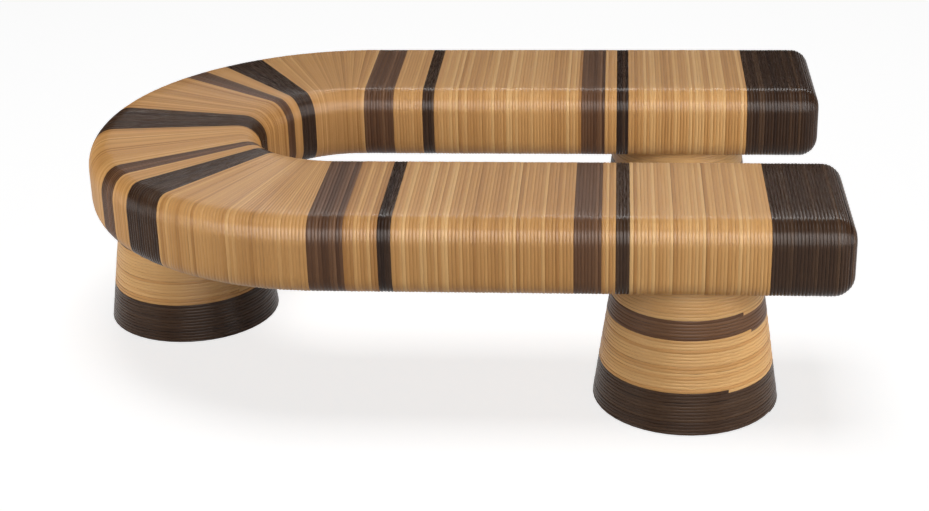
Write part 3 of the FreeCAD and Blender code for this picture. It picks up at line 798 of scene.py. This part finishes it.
cover_low, cover_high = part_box("front_end_cover")
straight_run = ARM_LENGTH - end_band_start - END_ROUND
edge_end = straight_run + seat["End_Round"] * RIGHT_ANGLE
path_end = edge_end + (cover_high.z - cover_low.z) / 2
for number, (side, sign) in enumerate((("front", -1.0), ("rear", 1.0))):
    for name, first, last in (("end_band", 0.0, edge_end), ("end_cover", edge_end, path_end)):
        turns = round((last - first) / CANE)
        wind(f"{side}_{name}", f"{side}_{name}", seat_winding, outline, "espresso_cane", Turns=turns,
             First=first, Last=last, Origin=sign * (quarter + end_band_start), Direction=sign,
             Straight_Run=straight_run, Half_Height=CANE / 2, Fan=0.0, Tone=MIDDLE_TONE,
             Tone_Spread=ARM_SPREAD, Seed=END_SEED + number, **seat)
        print(side, name, turns, "turns")

# %% [markdown]
# ## Legs
# A leg is a drum that flares to the floor, with the cane going round it like thread on a reel. It is one
# long helix from the floor to the seat, cut where the stain changes, so each change shows as a step of
# one strand. The Curve Spiral node could draw it, but a tree of the same kind as the seat's keeps the
# same notes for the finish.

# %% Leg tree
def leg_winding_tree():
    """The rule for one stain on a leg: a helix on a cone, kept between the floor and the seat."""
    tree, size = tree_with("leg winding", {
        "Int": ["Segments", "Seed"],
        "Float": ["First Turn", "Last Turn", "Pitch", "Bottom", "Top", "Base Radius", "Taper",
                  "Start Angle", "Arch", "Tone", "Tone Spread"],
        "Vector": ["Centre"],
        "Material": ["Material"]})
    strand, ring, across, height = straight_strand(tree, size["Segments"], size["Arch"])
    turn = size["First Turn"] + ring / size["Segments"] * (size["Last Turn"] - size["First Turn"])
    turn_number = turn.floor()
    half = size["Pitch"] * 0.5
    middle = size["Bottom"] + turn * size["Pitch"]
    lower = (middle - half).at_least(size["Bottom"])
    upper = (middle + half).at_most(size["Top"])
    rise = (lower + upper) * 0.5
    lift = height * half - chance(tree, turn_number, size["Seed"], 0.0, PROUD)
    radius = size["Base Radius"] - (rise - size["Bottom"]) * size["Taper"] - half + lift
    z = (rise + across * (upper - lower) * (OVERLAP / 2)).within(size["Bottom"], size["Top"])
    angle = size["Start Angle"] + turn * math.tau
    centre_x, centre_y, _ = parts_of(size["Centre"])
    place = vector_of(tree, centre_x + radius * angle.math("COSINE"),
                      centre_y + radius * angle.math("SINE"), z)

    lay = vector_of(tree, turn * size["Base Radius"] * math.tau, across * half,
                    turn_number + size["Seed"] * LAY_SHIFT)
    strand = with_notes(tree, strand, turn_number, across, lay, size)
    finish_tree(tree, strand, place, size["Material"])
    return tree


leg_winding = leg_winding_tree()
print("leg winding tree:", len(leg_winding.nodes), "nodes")

# %% Wind the legs
LEG_RINGS, LEG_SEED = 48, 71
LEG_ARCH, LEG_SPREAD = 0.24, 0.5
# The legs are wound in paler cane than the seat, and their tones are lifted further as painted light, to
# make up for the shade under the seat. The neck, right under it, is lifted most.
LEG_TONES_WITH_PAINTED_LIGHT = {"foot_band": 0.7, "waist": 0.92, "collar": 0.75, "neck": 1.15}
# Each band's name, the CAD node it stands for, its stain and its turns, from the floor up.
LEG_BANDS = (("foot_band", "foot_band", "espresso_cane", 12.40), ("waist", "infill", "honey_cane", 16.064),
             ("collar", "collar", "walnut_cane", 5.981), ("neck", "infill", "honey_cane", 8.555))
CHANGE_DEGREES = {"front_leg": -63, "rear_leg": -50, "apex_leg": 100}

marks = np.cumsum([0.0] + [turns for _, _, _, turns in LEG_BANDS])
speck = bpy.data.meshes.new("speck")
speck.from_pydata([(0.0, 0.0, 0.0)], [], [])
for number, (leg, change) in enumerate(CHANGE_DEGREES.items()):
    foot_low, foot_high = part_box(f"{leg}_foot_band")
    collar_low, collar_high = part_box(f"{leg}_collar")
    leg_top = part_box(f"{leg}_infill")[1].z
    middle = (foot_low + foot_high) / 2
    base_radius = (foot_high.x - foot_low.x) / 2
    taper = (base_radius - (collar_high.x - collar_low.x) / 2) / (collar_low.z - foot_low.z)
    pitch = (leg_top - foot_low.z) / marks[-1]
    start_angle = float(math.radians(change) - marks[1] * math.tau)
    for index, (band, node, slot, turns) in enumerate(LEG_BANDS):
        first = marks[index] if index else -HALF_STEP
        last = marks[index + 1] if index < len(LEG_BANDS) - 1 else marks[-1] + HALF_STEP
        wind(f"{leg}_{band}", f"{leg}_{node}", leg_winding, speck, slot, First_Turn=float(first),
             Last_Turn=float(last), Segments=round((last - first) * LEG_RINGS), Pitch=float(pitch),
             Bottom=foot_low.z, Top=leg_top, Base_Radius=base_radius, Taper=taper,
             Centre=(middle.x, middle.y, 0.0), Start_Angle=start_angle, Arch=LEG_ARCH,
             Tone=LEG_TONES_WITH_PAINTED_LIGHT[band], Tone_Spread=LEG_SPREAD, Seed=LEG_SEED + number)
    print(leg, "radius", round(base_radius, 4), "taper", round(taper, 4), "pitch", round(pitch, 5))

# %% [markdown]
# ## What the cane covers
# Under the cane are plywood boards and panels, laminated rails, zinc plated bolts, and plastic glides under
# the feet. Their CAD shapes are right as they are, so they stay and only get finishes. These read Object
# coordinates, which are the bench's own metres, so the grain keeps its real size.

# %% Finishes of the carcass
PORE_WAVES, PORE_SHARE = 5.0, 0.25
PORE_BUMP, PORE_DEPTH, BARE_ROUGHNESS = 0.25, 0.0005, 0.62
ZINC_PATCHES, ZINC_ROUGHNESS = 450.0, (0.28, 0.46)
SCUFF_WAVES, SKIN_WAVES = (60.0, 60.0, 60.0), (1800.0, 1800.0, 1800.0)
SKIN_BUMP, SKIN_DEPTH, GLIDE_ROUGHNESS = 0.2, 0.0003, 0.55


def object_place(tree):
    """A point's place in the bench's own metres."""
    return add(tree, "ShaderNodeTexCoord", output="Object")


def wood_finish(name, stops, waves):
    """Bare wood: stops are its colours, waves its grain in waves per metre along X, Y and Z."""
    material, tree, shader = new_finish(name)
    place = object_place(tree)
    grain = stretched_noise(tree, place, waves, 4.0)
    pores = stretched_noise(tree, place, tuple(PORE_WAVES * wave for wave in waves), 2.0)
    colour = colour_ramp(tree, grain * (1.0 - PORE_SHARE) + pores * PORE_SHARE, stops)
    tree.links.new(colour.socket, shader.inputs["Base Color"])
    bump = add(tree, "ShaderNodeBump", {"Strength": PORE_BUMP, "Distance": PORE_DEPTH, "Height": pores})
    tree.links.new(bump.socket, shader.inputs["Normal"])
    shader.inputs["Roughness"].default_value = BARE_ROUGHNESS
    return material


def zinc_finish():
    """Zinc plate: a bright grey metal in small dull and bright patches."""
    material, tree, shader = new_finish("zinc plate")
    patches = add(tree, "ShaderNodeTexVoronoi", {"Vector": object_place(tree), "Scale": ZINC_PATCHES},
                  output="Color")
    shade = add(tree, "ShaderNodeSeparateColor", [patches])
    least, most = ZINC_ROUGHNESS
    rough = add(tree, "ShaderNodeMapRange", {"Value": shade, "To Min": least, "To Max": most})
    tree.links.new(rough.socket, shader.inputs["Roughness"])
    colour = colour_ramp(tree, shade, [(0.0, (0.48, 0.49, 0.50)), (1.0, (0.66, 0.67, 0.68))])
    tree.links.new(colour.socket, shader.inputs["Base Color"])
    shader.inputs["Metallic"].default_value = 1.0
    return material


def glide_finish():
    """Moulded plastic with a fine grain, scuffed paler where it rubs."""
    material, tree, shader = new_finish("glide plastic")
    place = object_place(tree)
    scuffs = stretched_noise(tree, place, SCUFF_WAVES, 3.0)
    skin = stretched_noise(tree, place, SKIN_WAVES, 1.0)
    colour = colour_ramp(tree, scuffs, [(0.4, (0.045, 0.042, 0.040)), (0.7, (0.085, 0.080, 0.075))])
    tree.links.new(colour.socket, shader.inputs["Base Color"])
    bump = add(tree, "ShaderNodeBump", {"Strength": SKIN_BUMP, "Distance": SKIN_DEPTH, "Height": skin})
    tree.links.new(bump.socket, shader.inputs["Normal"])
    shader.inputs["Roughness"].default_value = GLIDE_ROUGHNESS
    return material


PLYWOOD = [(0.3, (0.42, 0.29, 0.16)), (0.7, (0.62, 0.47, 0.30))]
RAIL_TIMBER = [(0.3, (0.33, 0.20, 0.10)), (0.7, (0.52, 0.36, 0.20))]
CARCASS_FINISHES = {
    "plywood": wood_finish("plywood", PLYWOOD, waves=(7.0, 90.0, 90.0)),
    "rail_timber": wood_finish("rail timber", RAIL_TIMBER, waves=(5.0, 70.0, 130.0)),
    "zinc_steel": zinc_finish(),
    "glide_plastic": glide_finish(),
}
dressed = 0
for subpart in frame["record"]["subparts"]:
    finish = CARCASS_FINISHES.get(subpart["material_slot"])
    if finish:
        for slot in frame["nodes"][subpart["node"]].material_slots:
            slot.material = finish
        dressed += 1
print("carcass nodes with a finish:", dressed)
